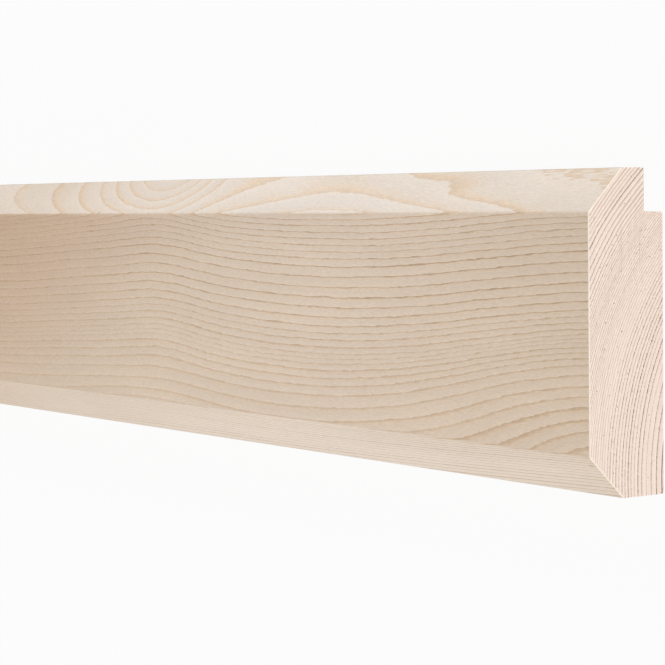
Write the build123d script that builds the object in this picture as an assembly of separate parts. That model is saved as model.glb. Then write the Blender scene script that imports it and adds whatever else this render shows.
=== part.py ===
"""A picture rail: one length of planed softwood moulding.

The rail lies flat on its wall face, as it is stored. X runs along its length, Y is up the wall when
it is fixed, and Z is off the wall. The origin is at the middle of the length and of the height, on
the plane of the wall face.

Its section is a planed board with a 45 degree chamfer along both front edges. A rebate along the top
of the wall face leaves a lip that stands clear of the wall, and picture hooks hang on that lip.
"""

from build123d import *
import os

# Driving dimensions, in millimetres.
rail_length = 2400.0
rail_height = 69.0
rail_thickness = 20.5
top_chamfer_leg = 9.2
bottom_chamfer_leg = 9.2
rebate_depth = 5.2
rebate_height = 9.3
front_arris_radius = 1.0
edge_arris_radius = 0.4

# Places in the section: along Y from the middle of the height, and along Z from the wall face.
top_edge = rail_height / 2
bottom_edge = -rail_height / 2
wall_face = 0.0
front_face = wall_face + rail_thickness
lip_back = wall_face + rebate_depth
rebate_ledge = top_edge - rebate_height


def machined_outline():
    """The section's eight sharp corners as (Y, Z), from the foot of the wall face round the front."""
    return [
        (bottom_edge, wall_face),
        (bottom_edge, front_face - bottom_chamfer_leg),
        (bottom_edge + bottom_chamfer_leg, front_face),
        (top_edge - top_chamfer_leg, front_face),
        (top_edge, front_face - top_chamfer_leg),
        (top_edge, lip_back),
        (rebate_ledge, lip_back),
        (rebate_ledge, wall_face),
    ]


def eased(section, places, radius):
    """The section with its corner at each of those places rounded to one radius."""
    corners = [section.vertices().sort_by_distance(place)[0] for place in places]
    return fillet(corners, radius)


def rail_section():
    """The moulded section: its arrises are eased, and the rebate's inner corner is left sharp."""
    outline = machined_outline()
    foot, bottom_shoulder, front_bottom, front_top, top_shoulder, lip_heel, _, ledge_nose = outline
    section = make_face(Polyline(*outline, close=True))
    section = eased(section, [front_bottom, front_top], front_arris_radius)
    outer_corners = [foot, bottom_shoulder, top_shoulder, lip_heel, ledge_nose]
    return eased(section, outer_corners, edge_arris_radius)


def picture_rail():
    """The rail, sawn square at both ends."""
    return extrude(Plane.YZ * rail_section(), amount=rail_length / 2, both=True)


rail = picture_rail()
rail.label = "picture_rail"

os.makedirs("parts", exist_ok=True)
export_step(rail, "parts/picture_rail.step")
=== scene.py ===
import bpy
import math
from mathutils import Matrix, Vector


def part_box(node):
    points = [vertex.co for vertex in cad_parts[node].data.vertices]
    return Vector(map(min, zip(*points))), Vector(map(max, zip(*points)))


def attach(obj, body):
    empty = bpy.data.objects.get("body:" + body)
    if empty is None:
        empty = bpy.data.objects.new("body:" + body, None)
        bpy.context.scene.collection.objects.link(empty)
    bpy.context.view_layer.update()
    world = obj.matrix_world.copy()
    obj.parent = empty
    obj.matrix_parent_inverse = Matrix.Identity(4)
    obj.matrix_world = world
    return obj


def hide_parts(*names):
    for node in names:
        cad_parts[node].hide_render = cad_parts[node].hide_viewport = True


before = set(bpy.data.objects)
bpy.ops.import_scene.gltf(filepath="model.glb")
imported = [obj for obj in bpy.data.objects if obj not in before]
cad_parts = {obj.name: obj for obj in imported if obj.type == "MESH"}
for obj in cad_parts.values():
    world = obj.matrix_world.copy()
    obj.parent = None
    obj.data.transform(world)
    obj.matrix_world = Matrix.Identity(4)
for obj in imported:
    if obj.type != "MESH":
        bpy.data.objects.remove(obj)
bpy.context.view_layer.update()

# The rail. It is one length of planed softwood, run through a moulder that leaves a 45 degree
# chamfer on both front edges and a rebate behind the top one, where picture hooks hang on the lip.
# Its long arrises are eased with a touch of sandpaper, and its ends are sawn square.
mm = 0.001
hair = 0.01 * mm
rail_low, rail_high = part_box("picture_rail")
rail_length = rail_high.x - rail_low.x
top_edge = rail_high.y
bottom_edge = rail_low.y
wall_face = rail_low.z
front_face = rail_high.z
chamfer_leg = 9.2 * mm
rebate_depth = 5.2 * mm
rebate_height = 9.3 * mm
lip_back = wall_face + rebate_depth
rebate_ledge = top_edge - rebate_height
front_arris_radius = 1.0 * mm
edge_arris_radius = 0.4 * mm
end_arris = 0.22 * mm
arris_segments = 5
end_arris_segments = 2
round_profile = 0.5
chamfer_turn = 45
square_turn = 90


def deselect():
    """Nothing is selected: no object, and in edit mode no vertex, edge or face."""
    if bpy.context.mode == "EDIT_MESH":
        bpy.ops.mesh.select_all(action="DESELECT")
    else:
        bpy.ops.object.select_all(action="DESELECT")


def near(a, b):
    """True for two places that are within a hair of each other."""
    return abs(a - b) < hair


def pick(piece, kind, test):
    """In edit mode, selects only the piece's faces or edges whose corners pass a test."""
    deselect()
    bpy.ops.object.mode_set(mode="OBJECT")
    points = piece.data.vertices
    parts = piece.data.polygons if kind == "FACE" else piece.data.edges
    for part in parts:
        part.select = test([points[i].co for i in part.vertices])
    bpy.ops.object.mode_set(mode="EDIT")
    bpy.ops.mesh.select_mode(type=kind)


def runs_at(y, z):
    """A test for the long edges at that place in the section."""
    return lambda corners: all(near(c.y, y) and near(c.z, z) for c in corners)


def behind_the_board(corners):
    """True for a face on the back of the board, below the lip."""
    return all(near(c.z, lip_back) and c.y < rebate_ledge + hair for c in corners)


def at_end(corners):
    """True for an edge that lies in one of the sawn ends."""
    return any(all(near(c.x, end) for c in corners) for end in (rail_low.x, rail_high.x))


def ease(piece, y, z, turn, radius):
    """Rounds the long edge at that place, where the surface turns by that many degrees."""
    pick(piece, "EDGE", runs_at(y, z))
    reach = radius * math.tan(math.radians(turn) / 2)
    bpy.ops.mesh.bevel(offset=reach, segments=arris_segments, profile=round_profile, affect="EDGES")


deselect()
bpy.ops.mesh.primitive_cube_add(size=1, location=(0, 0, (lip_back + front_face) / 2))
rail = bpy.context.object
rail.name = "moulded_rail"
rail.scale = (rail_length, top_edge - bottom_edge, front_face - lip_back)
bpy.ops.object.transform_apply(location=True, rotation=True, scale=True)
bpy.ops.object.mode_set(mode="EDIT")
bpy.ops.mesh.select_mode(type="EDGE")
for edge_y in (top_edge, bottom_edge):
    pick(rail, "EDGE", runs_at(edge_y, front_face))
    bpy.ops.mesh.bevel(offset=chamfer_leg, segments=1, affect="EDGES")
bpy.ops.mesh.select_all(action="SELECT")
bpy.ops.mesh.bisect(plane_co=(0, rebate_ledge, 0), plane_no=(0, 1, 0))
pick(rail, "FACE", behind_the_board)
bpy.ops.mesh.extrude_region_move(TRANSFORM_OT_translate={"value": (0, 0, wall_face - lip_back)})
bpy.ops.mesh.select_all(action="SELECT")
bpy.ops.mesh.dissolve_limited(angle_limit=math.radians(1))
for edge_y, inward in ((top_edge, -1), (bottom_edge, 1)):
    ease(rail, edge_y + inward * chamfer_leg, front_face, chamfer_turn, front_arris_radius)
    ease(rail, edge_y, front_face - chamfer_leg, chamfer_turn, edge_arris_radius)
ease(rail, bottom_edge, wall_face, square_turn, edge_arris_radius)
ease(rail, rebate_ledge, wall_face, square_turn, edge_arris_radius)
ease(rail, top_edge, lip_back, square_turn, edge_arris_radius)
pick(rail, "EDGE", at_end)
bpy.ops.mesh.bevel(
    offset=end_arris, segments=end_arris_segments, profile=round_profile, affect="EDGES"
)
bpy.ops.object.mode_set(mode="OBJECT")


def linear(hex_colour):
    """An sRGB hex colour as the linear red, green, blue and alpha that a shader takes."""
    parts = [int(hex_colour[i:i + 2], 16) / 255 for i in (1, 3, 5)]
    return [p / 12.92 if p <= 0.04045 else ((p + 0.055) / 1.055) ** 2.4 for p in parts] + [1.0]


def ends_first(places):
    """The first and the last of a list, then the rest, because a new ramp or curve has two ends."""
    return places[:1] + places[-1:] + places[1:-1]


def add(tree, kind, inputs=(), stops=(), points=(), **settings):
    """A node of that kind, with its settings. Its inputs, in order or by name, are values or nodes.

    A MapRange's inputs are the value, then the range that it comes from and the one that it goes to.
    """
    node = tree.nodes.new("ShaderNode" + kind)
    for name, value in settings.items():
        setattr(node, name, value)
    given = inputs.items() if isinstance(inputs, dict) else enumerate(inputs)
    for key, value in given:
        if isinstance(value, bpy.types.Node):
            value = value.outputs[0]
        if isinstance(value, bpy.types.NodeSocket):
            tree.links.new(value, node.inputs[key])
        else:
            node.inputs[key].default_value = value
    for i, (place, colour) in enumerate(ends_first(stops)):
        shades = node.color_ramp.elements
        stop = shades[i] if i < 2 else shades.new(place)
        stop.position = place
        stop.color = linear(colour)
    for i, place in enumerate(ends_first(points)):
        line = node.mapping.curves[0].points
        point = line[i] if i < 2 else line.new(*place)
        point.location = place
    if points:
        node.mapping.update()
    return node


def scale_for(size_x, size_y, size_z):
    """The scale for a pattern or mark of that size in millimetres. It is even along an axis of size 0."""
    return [1 / size if size else 0.0 for size in (size_x, size_y, size_z)]


# The tree. The board was cut 60 mm out from the pith of a slow grown pine, which grew a whorl of
# branches about every 600 mm. By each whorl the pith swings towards the front and the rings bend.
# Every place and size in the wood is in millimetres.
sawn_end = rail_high.x / mm
top = top_edge / mm
top_arris = (top_edge - chamfer_leg) / mm
bottom_arris = (bottom_edge + chamfer_leg) / mm
whorl_spacing = 597.5
pith_y = -31.3
pith_z = -60.0
inner_wood = 45.0
outer_wood = 110.0
mean_radius = 80.0

# Each pair is a radius, then the ring's number there, its width or the strength of its late wood.
ring_ages = [
    (45, 10.5), (57.25, 18), (60.25, 20), (64, 23), (68.4, 28), (72.5, 33), (75.2, 37),
    (77.5, 41), (78.3, 43), (79.85, 46), (81.05, 48), (81.9, 50), (82.65, 52),
    (83.25, 54), (84.25, 56), (85.35, 58), (86.1, 59), (87.9, 61), (90.05, 63),
    (91.2, 64), (93.7, 67), (95.3, 69), (96.2, 70), (98.5, 73), (110, 88),
]
ring_widths = [
    (45, 1.65), (57, 1.55), (62, 1.3), (66, 0.9), (72, 0.75), (78, 0.5), (81.2, 0.5), (81.8, 0.37),
    (83, 0.37), (84.5, 0.6), (87, 0.9), (89.5, 1.15), (92, 0.85), (95, 0.8), (110, 0.8),
]
ring_strengths = [
    (45, 0.7), (58.8, 0.75), (60.3, 0.45), (61.5, 0.42), (62.7, 0.57), (64, 0.72), (65, 0.42), (65.8, 0.5),
    (66.7, 0.62), (67.5, 0.5), (68.4, 0.62), (69.25, 0.45), (70, 0.52), (70.8, 0.38), (71.6, 0.5),
    (72.5, 0.42), (74, 0.38), (77.5, 0.45), (79, 0.38), (81.5, 0.35), (83, 0.3), (84.2, 0.38), (85.4, 0.44),
    (86.1, 0.38), (86.9, 0.5), (87.9, 0.63), (88.9, 0.48), (90.1, 0.42), (91.2, 0.61), (92.1, 0.54),
    (93, 0.32), (93.7, 0.5), (94.5, 0.45), (95.3, 0.42), (96.2, 0.52), (97, 0.36), (98, 0.35), (110, 0.4),
]
oldest_ring = 100.0
widest_ring = 2.0
full_strength = 1.0

# How amber a ring is, from its outer edge inwards.
late_wood = [(0, 1.0), (0.18, 0.9), (0.26, 0.7), (0.36, 0.4), (0.55, 0.12), (0.8, 0.03), (1, 0.0)]


def growth(tree):
    """What the tree grew at each place in the board.

    It gives the place, and the same place along the grain, across the rings and round them. Then it
    gives how much of the wood there is pale spring wood, amber late wood and the late wood's brown edge.
    """
    metres = add(tree, "TexCoord").outputs["Object"]
    place = add(tree, "VectorMath", [metres, (1 / mm, 1 / mm, 1 / mm)], operation="MULTIPLY")
    x, y, z = add(tree, "SeparateXYZ", [place]).outputs
    along = add(tree, "Math", [sawn_end, x], operation="SUBTRACT")

    def swelling(at, sharpness, height, base):
        """The base, and a bump of that height at that distance along, again at each whorl."""
        turn = add(tree, "Math", [along, at], operation="SUBTRACT")
        turn = add(tree, "Math", [turn, 2 * math.pi / whorl_spacing], operation="MULTIPLY")
        bump = add(tree, "Math", [turn], operation="COSINE")
        bump = add(tree, "Math", [bump, sharpness, -sharpness], operation="MULTIPLY_ADD")
        bump = add(tree, "Math", [bump], operation="EXPONENT")
        return add(tree, "Math", [bump, height, base], operation="MULTIPLY_ADD")

    def lump(distance, up, reach, height, base):
        """The base, and one soft lump of that height and reach, that far along and up the board."""
        inward = add(tree, "VectorMath", [place, (sawn_end - distance, up, 0)], operation="SUBTRACT")
        inward = add(tree, "VectorMath", [inward, scale_for(*reach, 0)], operation="MULTIPLY")
        inward = add(tree, "VectorMath", [inward], operation="LENGTH").outputs["Value"]
        inward = add(tree, "MapRange", [inward, 0.0, 1.0, 1.0, 0.0], interpolation_type="SMOOTHSTEP")
        return add(tree, "Math", [inward, height, base], operation="MULTIPLY_ADD")

    # The rings wander in waves and small steps, and more calmly on the top chamfer.
    calm = add(tree, "MapRange", [y, top_arris - 1.8, top_arris + 1.2, 1.0, 0.35])
    waves = add(tree, "VectorMath", [place, scale_for(22, 9, 9)], operation="MULTIPLY")
    waves = add(tree, "TexNoise", {"Vector": waves, "Scale": 1.0, "Detail": 2.0})
    steps = add(tree, "VectorMath", [place, scale_for(5, 0.5, 0.5)], operation="MULTIPLY")
    steps = add(tree, "TexNoise", {"Vector": steps, "Scale": 1.0, "Detail": 1.0})
    steps = add(tree, "Math", [steps, 0.5], operation="SUBTRACT")
    steps = add(tree, "Math", [steps, calm], operation="MULTIPLY")
    wander = add(tree, "Math", [waves, 0.7, -0.35], operation="MULTIPLY_ADD")
    wander = add(tree, "Math", [wander, calm], operation="MULTIPLY")
    wander = add(tree, "Math", [steps, 0.45, wander], operation="MULTIPLY_ADD")

    # The pith leans 7 mm off by the far end, and it swings at each whorl.
    lean = add(tree, "MapRange", [along, 300.0, 2400.0, 0.0, 7.0])
    wander = add(tree, "Math", [wander, lean], operation="ADD")
    core_y = swelling(at=174.2, sharpness=40, height=1.7, base=pith_y)
    core_y = swelling(at=192.4, sharpness=4.4, height=4.3, base=core_y)
    core_z = swelling(at=-12, sharpness=4.4, height=3.6, base=pith_z)
    off_y = add(tree, "Math", [y, core_y], operation="SUBTRACT")
    off_y = add(tree, "Math", [off_y, wander], operation="ADD")
    off_z = add(tree, "Math", [z, core_z], operation="SUBTRACT")
    off = add(tree, "CombineXYZ", [0.0, off_y, off_z])
    radius = add(tree, "VectorMath", [off], operation="LENGTH").outputs["Value"]

    # The rings are a little out of round. Along the board's top edge they mostly dip, so that outer
    # wood shows, and along its foot they bulge, so that deeper wood shows.
    crest = add(tree, "MapRange", [y, top_arris - 3.3, top, 0.0, 1.0])
    outer = swelling(at=57.1, sharpness=6.0, height=-1.74, base=1.41)
    outer = swelling(at=163.1, sharpness=19.1, height=11.05, base=outer)
    outer = swelling(at=166.7, sharpness=14.1, height=-12.0, base=outer)
    radius = add(tree, "Math", [crest, outer, radius], operation="MULTIPLY_ADD")
    foot = add(tree, "MapRange", [y, bottom_arris + 11.3, bottom_arris, 0.0, 1.0])
    foot = add(tree, "Math", [foot, 2.0], operation="POWER")
    deeper = add(tree, "MapRange", [along, 20.0, 70.0, 0.0, -0.64])
    deeper = swelling(at=185, sharpness=12, height=-0.77, base=deeper)
    radius = add(tree, "Math", [foot, deeper, radius], operation="MULTIPLY_ADD")
    radius = add(tree, "Math", [steps, 0.06, radius], operation="MULTIPLY_ADD")

    # Three soft lumps bend a few ring lines near the sawn end, on the top chamfer and beside it.
    radius = lump(distance=50.6, up=32.8, reach=(26, 5), height=0.32, base=radius)
    radius = lump(distance=48, up=29.2, reach=(24, 3.6), height=-0.13, base=radius)
    radius = lump(distance=-3, up=35, reach=(40, 12), height=0.035, base=radius)
    share = add(tree, "MapRange", [radius, inner_wood, outer_wood, 0.0, 1.0])

    def by_radius(values, most):
        """A value that changes with the radius, drawn through the pairs in the list."""
        wood = outer_wood - inner_wood
        drawn = [((r - inner_wood) / wood, value / most) for r, value in values]
        curve = add(tree, "FloatCurve", [1.0, share], points=drawn)
        return add(tree, "Math", [curve, most], operation="MULTIPLY")

    age = by_radius(ring_ages, oldest_ring)
    width = by_radius(ring_widths, widest_ring)
    strength = by_radius(ring_strengths, full_strength)

    # Some years leave more late wood than others, and it is patchy along the ring. On the front it
    # fades by a third 250 mm from the sawn end.
    ring = add(tree, "Math", [age], operation="FLOOR")
    luck = add(tree, "TexWhiteNoise", {"W": ring}, noise_dimensions="1D").outputs["Value"]
    luck = add(tree, "MapRange", [luck, 0.0, 1.0, 0.8, 1.15])
    strength = add(tree, "Math", [strength, luck], operation="MULTIPLY")
    patches = add(tree, "VectorMath", [place, scale_for(6, 1.5, 1.5)], operation="MULTIPLY")
    patches = add(tree, "TexNoise", {"Vector": patches, "Scale": 1.0, "Detail": 2.0})
    patches = add(tree, "MapRange", [patches, 0.3, 0.7, 0.86, 1.14])
    strength = add(tree, "Math", [strength, patches], operation="MULTIPLY")
    fading = add(tree, "Math", [calm, -0.52, 0.18], operation="MULTIPLY_ADD")
    fading = swelling(at=250, sharpness=4, height=fading, base=1.0)
    strength = add(tree, "Math", [strength, fading], operation="MULTIPLY")

    # A ring starts with pale spring wood. Its late wood lies by its outer edge, within a depth that
    # grows with its strength. On the top chamfer its amber is broad and its brown is faint.
    grown = add(tree, "Math", [age], operation="FRACT")
    spring = add(tree, "MapRange", [grown, 0.0, 0.5, 1.0, 0.0])
    depth = add(tree, "Math", [1.0, grown], operation="SUBTRACT")
    depth = add(tree, "Math", [depth, width], operation="MULTIPLY")
    depth = add(tree, "Math", [depth, strength], operation="DIVIDE")
    reach = add(tree, "Math", [calm, 0.5, 0.5], operation="MULTIPLY_ADD")
    reach = add(tree, "Math", [reach, depth], operation="MULTIPLY")
    amber = add(tree, "FloatCurve", [1.0, reach], points=late_wood)
    amber = add(tree, "Math", [amber, strength], operation="MULTIPLY")
    soft = add(tree, "Math", [calm, -0.3, 1.3], operation="MULTIPLY_ADD")
    amber = add(tree, "Math", [amber, soft], operation="MULTIPLY")
    brown = add(tree, "MapRange", [depth, 0.04, 0.32, 1.0, 0.0])
    brown = add(tree, "Math", [brown, strength], operation="MULTIPLY")
    sheer = add(tree, "Math", [calm, 0.88, 0.12], operation="MULTIPLY_ADD")
    brown = add(tree, "Math", [brown, sheer], operation="MULTIPLY")

    # The brown edge is darkest where the surface cuts the ring squarely, and faint where it grazes it.
    normal = add(tree, "TexCoord").outputs["Normal"]
    outward = add(tree, "VectorMath", [off], operation="NORMALIZE")
    steep = add(tree, "VectorMath", [normal, outward], operation="CROSS_PRODUCT")
    steep = add(tree, "VectorMath", [steep], operation="LENGTH").outputs["Value"]
    steep = add(tree, "MapRange", [steep, 0.0, 0.75, 0.5, 1.5])
    brown = add(tree, "Math", [brown, steep], operation="MULTIPLY")
    arc = add(tree, "Math", [off_z, off_y], operation="ARCTAN2")
    arc = add(tree, "Math", [arc, mean_radius], operation="MULTIPLY")
    grain = add(tree, "CombineXYZ", [along, radius, arc])
    return place, grain, spring, amber, brown


# Planed pine. The cutters leave it matt and silky, with a woolly fleck where they lift short fibres.
# Real wood cells are 0.03 mm wide, which is too fine to show. So the fleck is drawn 0.25 mm wide,
# as coarse as it needs to be.
planed_roughness = 0.62
pine_ior = 1.53
relief_height = 0.04 * mm
spring_wood = linear("#ecdfd1")
amber_wood = linear("#f0c794")
brown_wood = linear("#8f785f")
# The grey of the painted shade on the arrises beside the chamfers.
arris_shade_grey = linear("#9a8c7e")
knocked_wood = linear("#b08a6c")
pine = bpy.data.materials.new("planed_pine")
pine.use_nodes = True
tree = pine.node_tree
tree.nodes.clear()
place, grain, spring, amber, brown = growth(tree)
amber = add(tree, "Math", [amber, 0.8], operation="MULTIPLY")
colour = add(tree, "MixRGB", [amber, spring_wood, amber_wood])
colour = add(tree, "MixRGB", [brown, colour, brown_wood])

# Fibres and slow clouds vary the shade. Inner wood and spring wood are paler, and the 120 mm by the
# sawn end is a little duller.
fibres = add(tree, "VectorMath", [grain, scale_for(1.5, 0.25, 0.25)], operation="MULTIPLY")
fibres = add(tree, "TexNoise", {"Vector": fibres, "Scale": 1.0, "Detail": 3.0, "Roughness": 0.6})
clouds = add(tree, "VectorMath", [grain, scale_for(60, 6, 12)], operation="MULTIPLY")
clouds = add(tree, "TexNoise", {"Vector": clouds, "Scale": 1.0, "Detail": 2.0})
along, across, _ = add(tree, "SeparateXYZ", [grain]).outputs
fleck = add(tree, "MapRange", [fibres, 0.25, 0.75, 0.9, 1.1])
tone = add(tree, "MapRange", [clouds, 0.25, 0.75, 0.96, 1.03])
inner = add(tree, "MapRange", [across, 78.0, 97.0, 1.03, 0.98])
end_dulling = add(tree, "MapRange", [along, 0.0, 120.0, 0.965, 1.0])
pale = add(tree, "Math", [spring, 0.05, 0.985], operation="MULTIPLY_ADD")
shade = add(tree, "Math", [fleck, tone], operation="MULTIPLY")
shade = add(tree, "Math", [shade, inner], operation="MULTIPLY")
shade = add(tree, "Math", [shade, end_dulling], operation="MULTIPLY")
shade = add(tree, "Math", [shade, pale], operation="MULTIPLY")
colour = add(tree, "VectorMath", {"Vector": colour, "Scale": shade}, operation="SCALE")

# The front face is tinted a deeper tan than the top chamfer, and the bottom chamfer lies between them; the
# tint goes by which way each face points.
normal = add(tree, "SeparateXYZ", [add(tree, "TexCoord").outputs["Normal"]])
front = add(tree, "MapRange", [normal.outputs["Z"], 0.75, 0.98, 0.0, 1.0])
under = add(tree, "MapRange", [normal.outputs["Y"], 0.0, -0.7, 0.0, 0.5])
face_tint = add(tree, "Math", [front, under], operation="ADD")
tan = add(tree, "VectorMath", [colour, (1.0, 0.926, 0.84)], operation="MULTIPLY")
colour = add(tree, "MixRGB", [face_tint, colour, tan])

# Painted shade: the arris between each chamfer and the edge beside it is painted grey, a thin dark line
# along the board's top and bottom outline.
turned = add(tree, "Math", [normal.outputs["Y"]], operation="ABSOLUTE")
arris = add(tree, "MapRange", [turned, 0.74, 0.84, 0.0, 0.5])
edge = add(tree, "MapRange", [turned, 0.93, 0.99, 1.0, 0.0])
arris = add(tree, "Math", [arris, edge], operation="MULTIPLY")
colour = add(tree, "MixRGB", [arris, colour, arris_shade_grey])

# A brown wash crosses the board on a slant 320 mm from the sawn end, and again every 640 mm, but milder. It
# lies mostly on the tinted faces.
milder = add(tree, "MapRange", [along, 330.0, 480.0, 1.0, 0.45])
wash = add(tree, "VectorMath", [place, (-1, 2, 0)], operation="DOT_PRODUCT").outputs["Value"]
wash = add(tree, "Math", [wash, sawn_end], operation="ADD")
wash = add(tree, "Math", [wash, 320.0], operation="PINGPONG")
wash = add(tree, "MapRange", [wash, 180.0, 320.0, 0.0, 1.0])
wash = add(tree, "Math", [wash, milder], operation="MULTIPLY")
takes_wash = add(tree, "MapRange", [face_tint, 0.0, 0.5, 0.15, 1.0])
wash = add(tree, "Math", [wash, takes_wash], operation="MULTIPLY")
washed = add(tree, "VectorMath", [colour, (0.88, 0.77, 0.7)], operation="MULTIPLY")
colour = add(tree, "MixRGB", [wash, colour, washed])

# The whole board drifts between a duller and a paler tone, about every 280 mm. It is palest 107 mm
# from the sawn end.
drift = add(tree, "Math", [along, 107.0], operation="SUBTRACT")
drift = add(tree, "Math", [drift, 1 / 45], operation="MULTIPLY")
drift = add(tree, "Math", [drift], operation="COSINE")
drift = add(tree, "Math", [drift, milder], operation="MULTIPLY")
drift = add(tree, "Math", [drift, 0.5, 0.5], operation="MULTIPLY_ADD")
duller = add(tree, "VectorMath", [colour, (0.965, 0.957, 0.94)], operation="MULTIPLY")
paler = add(tree, "VectorMath", [colour, (1.035, 1.045, 1.065)], operation="MULTIPLY")
colour = add(tree, "MixRGB", [drift, duller, paler])

# Three small knocks: one on each chamfer by the sawn end, and one on the top front arris.
knock_length = 1.3
knock_width = 0.5
for distance, up, out in ((0.8, 30.2, 15.6), (1.9, -27.3, 18.5), (210, 25.7, 20.1)):
    knock = add(tree, "VectorMath", [place, (sawn_end - distance, up, out)], operation="SUBTRACT")
    knock_size = scale_for(knock_length, knock_width, knock_width)
    knock = add(tree, "VectorMath", [knock, knock_size], operation="MULTIPLY")
    knock = add(tree, "VectorMath", [knock], operation="LENGTH").outputs["Value"]
    knock = add(tree, "MapRange", [knock, 0.3, 1.0, 0.4, 0.0])
    colour = add(tree, "MixRGB", [knock, colour, knocked_wood])

# Lifted fibres and the late wood's hard edge stand a little proud.
relief = add(tree, "Math", [fibres, 0.5, brown], operation="MULTIPLY_ADD")
bump = add(tree, "Bump", {"Strength": 0.5, "Distance": relief_height, "Height": relief})
finish = {"Base Color": colour, "Roughness": planed_roughness, "IOR": pine_ior, "Normal": bump}
shader = add(tree, "BsdfPrincipled", finish)
add(tree, "OutputMaterial", {"Surface": shader})
rail.data.materials.append(pine)

# Sawn pine end grain. The saw cuts the fibres across, which leaves a paler and drier face.
# Its cells are too fine to show as well, so they are drawn 0.25 mm wide.
sawn_roughness = 0.8
scored_wood = linear("#b89c88")
# The cream of the painted highlight on the end's front arrises.
painted_rim_highlight = linear("#fff0de")
end_shades = [(0.0, "#fbe9dc"), (0.06, "#eed9ca"), (0.3, "#c8aa94"), (0.6, "#8e705a"), (1.0, "#4a3628")]
sawn = bpy.data.materials.new("sawn_pine_end_grain")
sawn.use_nodes = True
tree = sawn.node_tree
tree.nodes.clear()
place, grain, spring, amber, brown = growth(tree)

# Resin canals run along the grain, 1.3 mm apart, and under half of them show as a dark pore.
canals = add(tree, "VectorMath", [grain, scale_for(0, 1.3, 1.3)], operation="MULTIPLY")
canals = add(tree, "TexVoronoi", {"Vector": canals, "Scale": 1.0})
shown = add(tree, "SeparateColor", [canals.outputs["Color"]])
shown = add(tree, "Math", [shown, 0.55], operation="GREATER_THAN")
pores = add(tree, "MapRange", [canals.outputs["Distance"], 0.06, 0.14, 0.5, 0.0])
pores = add(tree, "Math", [pores, shown], operation="MULTIPLY")

# The saw breaks the inner rings' lines into beads and leaves the outer ones whole. One ring is bold.
beads = add(tree, "VectorMath", [grain, scale_for(0, 1.5, 0.6)], operation="MULTIPLY")
beads = add(tree, "TexNoise", {"Vector": beads, "Scale": 1.0, "Detail": 1.0})
beads = add(tree, "MapRange", [beads, 0.35, 0.65, 0.5, 1.5])
across = add(tree, "SeparateXYZ", [grain]).outputs["Y"]
outer = add(tree, "MapRange", [across, 71.0, 75.0, 0.0, 1.0])
whole = add(tree, "MapRange", [across, 77.0, 81.0, 0.6, 1.1])
weight = add(tree, "MixRGB", [outer, beads, whole])
bold = add(tree, "Math", [across, 91.05, 0.35], operation="COMPARE")
bold = add(tree, "Math", [bold, 0.45, 1.0], operation="MULTIPLY_ADD")
weight = add(tree, "Math", [weight, bold], operation="MULTIPLY")
dark = add(tree, "Math", [brown, 0.55], operation="MULTIPLY")
dark = add(tree, "Math", [amber, 0.35, dark], operation="MULTIPLY_ADD")
dark = add(tree, "Math", [dark, weight, pores], operation="MULTIPLY_ADD")
colour = add(tree, "ValToRGB", [dark], stops=end_shades)

# Cut cells and the saw's fine marks vary the shade.
cells = add(tree, "VectorMath", [grain, scale_for(1, 0.25, 0.25)], operation="MULTIPLY")
cells = add(tree, "TexNoise", {"Vector": cells, "Scale": 1.0, "Detail": 2.0})
marks = add(tree, "VectorMath", [place, scale_for(0, 45, 0.5)], operation="MULTIPLY")
marks = add(tree, "TexNoise", {"Vector": marks, "Scale": 1.0, "Detail": 2.0})
fleck = add(tree, "MapRange", [cells, 0.25, 0.75, 0.88, 1.1])
marks = add(tree, "MapRange", [marks, 0.25, 0.75, 0.95, 1.05])
pale = add(tree, "Math", [spring, 0.06, 0.97], operation="MULTIPLY_ADD")
shade = add(tree, "Math", [fleck, marks], operation="MULTIPLY")
shade = add(tree, "Math", [shade, pale], operation="MULTIPLY")
colour = add(tree, "VectorMath", {"Vector": colour, "Scale": shade}, operation="SCALE")

# Two teeth scored the end up and down the board.
score_width = 0.2
for out, low, high in ((11.6, 9.0, 27.0), (6.6, 12.0, 23.0)):
    score = add(tree, "VectorMath", [place, (0, (low + high) / 2, out)], operation="SUBTRACT")
    score_size = scale_for(0, (high - low) / 2, score_width)
    score = add(tree, "VectorMath", [score, score_size], operation="MULTIPLY")
    score = add(tree, "VectorMath", [score], operation="LENGTH").outputs["Value"]
    score = add(tree, "MapRange", [score, 0.4, 1.0, 0.3, 0.0])
    colour = add(tree, "MixRGB", [score, colour, scored_wood])

# A painted highlight: the arris at the end of the front face and chamfers is painted paler still, where
# light catches the sawn edge.
highlight_rim = add(tree, "SeparateXYZ", [add(tree, "TexCoord").outputs["Normal"]]).outputs["Z"]
highlight_rim = add(tree, "MapRange", [highlight_rim, 0.15, 0.3, 0.0, 1.0])
colour = add(tree, "MixRGB", [highlight_rim, colour, painted_rim_highlight])
bump = add(tree, "Bump", {"Strength": 0.4, "Distance": relief_height, "Height": cells})
finish = {"Base Color": colour, "Roughness": sawn_roughness, "IOR": pine_ior, "Normal": bump}
shader = add(tree, "BsdfPrincipled", finish)
add(tree, "OutputMaterial", {"Surface": shader})
rail.data.materials.append(sawn)

# The end faces and their arrises are sawn, and the rest is planed.
planed_slot = 0
sawn_slot = 1
least_end_lean = 0.3
for face in rail.data.polygons:
    face.material_index = sawn_slot if abs(face.normal.x) > least_end_lean else planed_slot

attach(rail, "root")
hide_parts("picture_rail")

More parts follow.
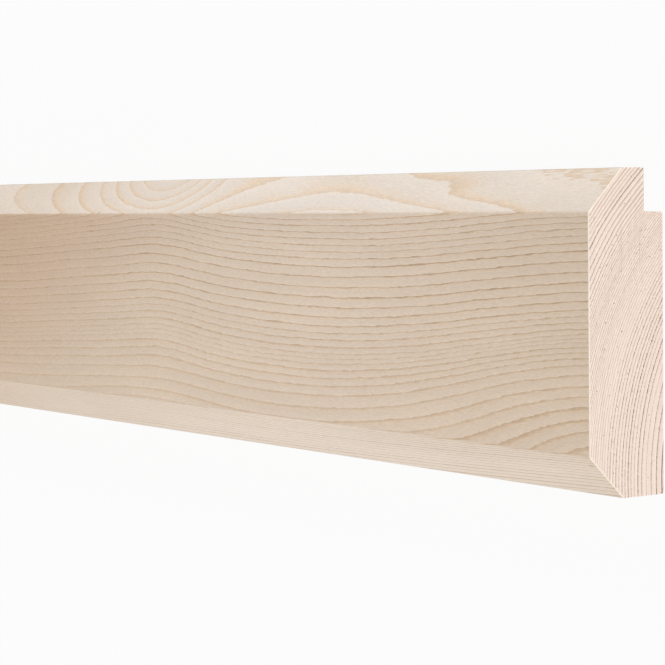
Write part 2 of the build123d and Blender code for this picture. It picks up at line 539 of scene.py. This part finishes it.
# The floor. It is a plain board with matt white paint, and the rail lies on it. The camera sees it
# mostly as even white, and the rest of it takes the rail's shadow.
floor_size = 30
even_white = 0.92
deselect()
bpy.ops.mesh.primitive_plane_add(size=floor_size, location=(0, 0, wall_face))
floor = bpy.context.object
floor.name = "floor"
paint = bpy.data.materials.new("white_floor_paint")
paint.use_nodes = True
tree = paint.node_tree
tree.nodes.clear()
matt = add(tree, "BsdfDiffuse", {"Color": linear("#f2f2f2")})
bright = add(tree, "Emission", {"Color": linear("#ffffff"), "Strength": 1.0})
path = add(tree, "LightPath")
seen = add(tree, "Math", [path.outputs["Is Camera Ray"], path.outputs["Is Glossy Ray"]], operation="MAXIMUM")
seen = add(tree, "Math", [seen, path.outputs["Is Transmission Ray"]], operation="MAXIMUM")
share = add(tree, "Math", [seen, even_white], operation="MULTIPLY")
mix = add(tree, "MixShader", [share, matt, bright])
add(tree, "OutputMaterial", {"Surface": mix})
floor.data.materials.append(paint)

# The light. It is a soft white studio: an even dome, a wide lamp beyond the sawn end, and one more
# on each side.
dome_strength = 0.373
lamp_distance = 2.5
lamp_size = 1.5
world = bpy.data.worlds.new("studio")
bpy.context.scene.world = world
world.use_nodes = True
dome = world.node_tree.nodes["Background"]
dome.inputs["Color"].default_value = linear("#ffffff")
dome.inputs["Strength"].default_value = dome_strength


def lamp(name, target, direction, power):
    """A square soft lamp that stands in that direction from the target and looks back at it."""
    direction = Vector(direction).normalized()
    place = Vector(target) + direction * lamp_distance
    bpy.ops.object.light_add(type="AREA", location=place)
    light = bpy.context.object
    light.name = name
    light.rotation_euler = direction.to_track_quat("Z", "Y").to_euler()
    light.data.shape = "SQUARE"
    light.data.size = lamp_size
    light.data.energy = power


seen_end = (rail_high.x, 0, front_face / 2)
lamp("end_lamp", seen_end, direction=(1, 0, 0.35), power=29.6)
lamp("upper_side_lamp", seen_end, direction=(-0.2, 1, 0.35), power=34.5)
lamp("lower_side_lamp", seen_end, direction=(-0.2, -1, 0.35), power=27.7)

# The camera. It stands beyond the sawn end, above the front face and rolled on its side, so that
# the rail's height runs up the picture.
camera_place = (rail_high.x + 353.6 * mm, 28.7 * mm, 325.8 * mm)
camera_turn = (-4.46, 55.63, -1.31)
bpy.ops.object.camera_add(location=camera_place, rotation=[math.radians(turn) for turn in camera_turn])
camera = bpy.context.object
camera.name = "camera"
camera.data.lens = 122.4
camera.data.sensor_width = 36
camera.data.clip_start = 10 * mm
bpy.context.scene.camera = camera
bpy.context.scene.view_settings.view_transform = "Standard"
